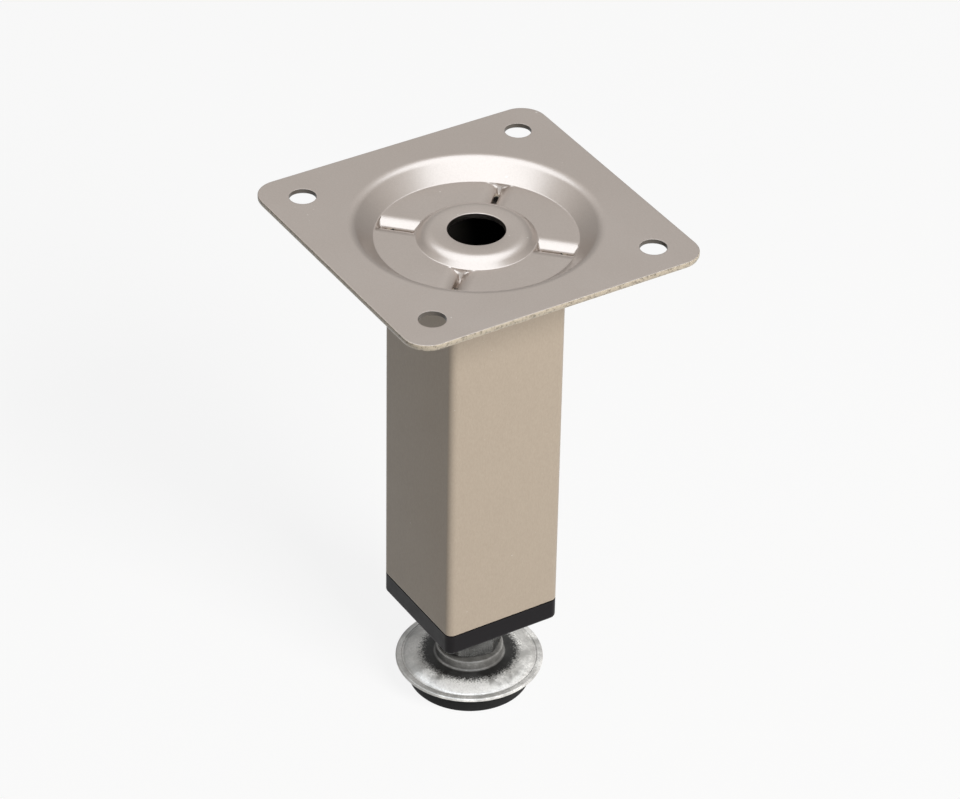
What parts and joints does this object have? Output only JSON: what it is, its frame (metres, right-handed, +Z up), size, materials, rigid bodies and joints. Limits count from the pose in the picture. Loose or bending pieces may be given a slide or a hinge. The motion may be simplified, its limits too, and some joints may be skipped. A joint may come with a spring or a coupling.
{
  "type": "furniture leg",
  "caption": "Short square furniture leg with a pressed square mounting plate, a plastic end cap and a screw foot that adjusts the height.",
  "frame": {"origin": "on the floor under the middle of the leg, with the foot set as it is at rest", "axes": "+Z up along the leg's axis; X and Y along the edges of the square plate and tube"},
  "size_m": [0.062, 0.062, 0.107],
  "materials": {
    "satin_nickel_plate": "satin nickel plating",
    "satin_nickel_tube": "satin nickel plating, warm tint",
    "black_plastic": "moulded, satin",
    "zinc_nut": "zinc plated",
    "zinc_stud": "bright zinc plated",
    "zinc_flange": "bright zinc plated, mottled",
    "black_rubber": "moulded, matt"
  },
  "bodies": {
    "leg": {"mounting_plate": "satin_nickel_plate", "leg_tube": "satin_nickel_tube", "end_cap": "black_plastic", "captive_nut": "zinc_nut"},
    "foot": {"foot_flange": "zinc_flange", "foot_pad": "black_rubber"},
    "stud": {"adjusting_stud": "zinc_stud"}
  },
  "joints": [
    {"name": "foot_extend", "type": "slide", "parent": "leg", "child": "foot", "axis": [0, 0, -1], "range_m": [-0.0035, 0.012]},
    {"name": "stud_turn", "type": "hinge", "parent": "foot", "child": "stud", "pos_m": [0, 0, 0.0116], "axis": [0, 0, -1], "range_deg": [-1000, 3450]}
  ],
  "couplings": [
    {"joint": "foot_extend", "follows": "stud_turn", "m_per_rad": 0.00019894}
  ]
}
